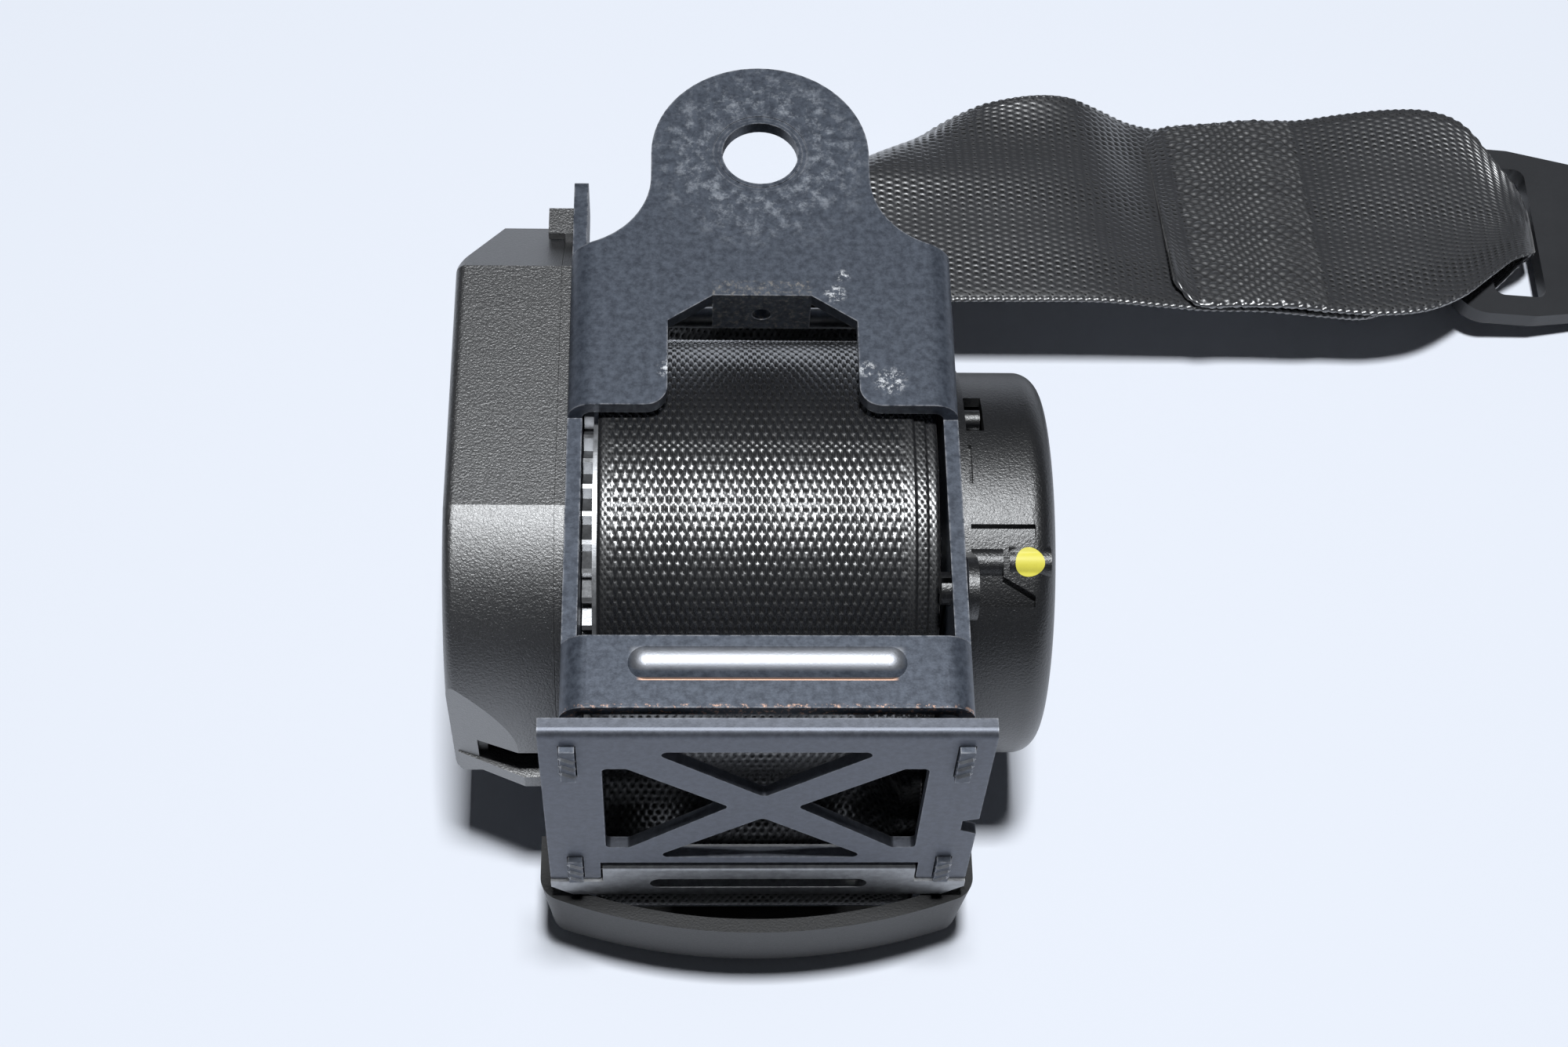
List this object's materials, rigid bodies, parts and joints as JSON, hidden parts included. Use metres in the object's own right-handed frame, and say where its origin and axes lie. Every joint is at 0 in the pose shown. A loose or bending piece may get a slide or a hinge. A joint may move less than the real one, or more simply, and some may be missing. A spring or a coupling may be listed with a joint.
{
  "type": "seat belt retractor",
  "caption": "Emergency locking seat belt retractor with a bolt tab, a roll of webbing and a short free run that ends sewn in a steel anchor plate.",
  "frame": {"origin": "centre of the frame's bolt hole, on the mounting face", "axes": "+Z out of the mounting face along the bolt, +X along the spool towards the spring drum, +Y from the belt's exit towards the bolt tab"},
  "size_m": [0.2092, 0.1574, 0.071],
  "materials": {
    "yoke_steel": "phosphated and oiled steel, dark bluish gray, scuffed",
    "plate_steel": "dark satin coated steel",
    "bright_steel": "zinc plated steel",
    "black_plastic": "moulded black plastic with a fine spark texture",
    "webbing": "black polyester belt webbing",
    "spool_metal": "die cast aluminium",
    "bush_plastic": "natural acetal",
    "anchor_steel": "black electrocoated steel",
    "spring_steel": "blued spring steel"
  },
  "bodies": {
    "retractor": {"retractor_frame": "yoke_steel", "tie_plate": "plate_steel", "lower_plate": "plate_steel", "webbing_guide": "black_plastic", "sensor_base": "black_plastic", "sensor_cover": "black_plastic", "spring_base": "black_plastic", "spring_cover": "black_plastic", "mainspring": "spring_steel", "rear_tie_rod": "bright_steel", "snap_pegs": "black_plastic", "pawl_pin": "bright_steel", "left_bush": "bush_plastic", "right_bush": "bush_plastic", "sensor_seat": "bush_plastic", "belt_strap": "webbing"},
    "spool": {"spool_core": "spool_metal", "torsion_bar": "bright_steel", "lock_ratchet": "bright_steel", "webbing_roll": "webbing", "spring_arbor": "bush_plastic", "inertia_wheel": "bush_plastic"},
    "pawl": {"lock_pawl": "bright_steel"},
    "lever": {"sensor_lever": "bush_plastic"},
    "ball": {"sensor_ball": "bright_steel"},
    "anchor": {"anchor_plate": "anchor_steel"}
  },
  "joints": [
    {"name": "spool_spin", "type": "hinge", "parent": "retractor", "child": "spool", "pos_m": [0, -0.047, -0.035], "axis": [1, 0, 0], "continuous": true},
    {"name": "pawl_swing", "type": "hinge", "parent": "retractor", "child": "pawl", "pos_m": [-0.0236, -0.02151, -0.0575], "axis": [1, 0, 0], "range_deg": [0, 6.2]},
    {"name": "ball_rise", "type": "slide", "parent": "retractor", "child": "ball", "axis": [0, -1, 0], "range_m": [0, 0.00108]},
    {"name": "lever_lift", "type": "hinge", "parent": "retractor", "child": "lever", "pos_m": [-0.0314, -0.016, -0.0485], "axis": [1, 0, 0], "range_deg": [0, 4.6]},
    {"name": "anchor_tilt", "type": "hinge", "parent": "retractor", "child": "anchor", "pos_m": [0.1223, 0.03467, -0.0645], "axis": [0, 1, 0], "range_deg": [-25, 25]}
  ],
  "couplings": [
    {"joint": "lever_lift", "follows": "ball_rise", "rad_per_m": 74.074}
  ]
}
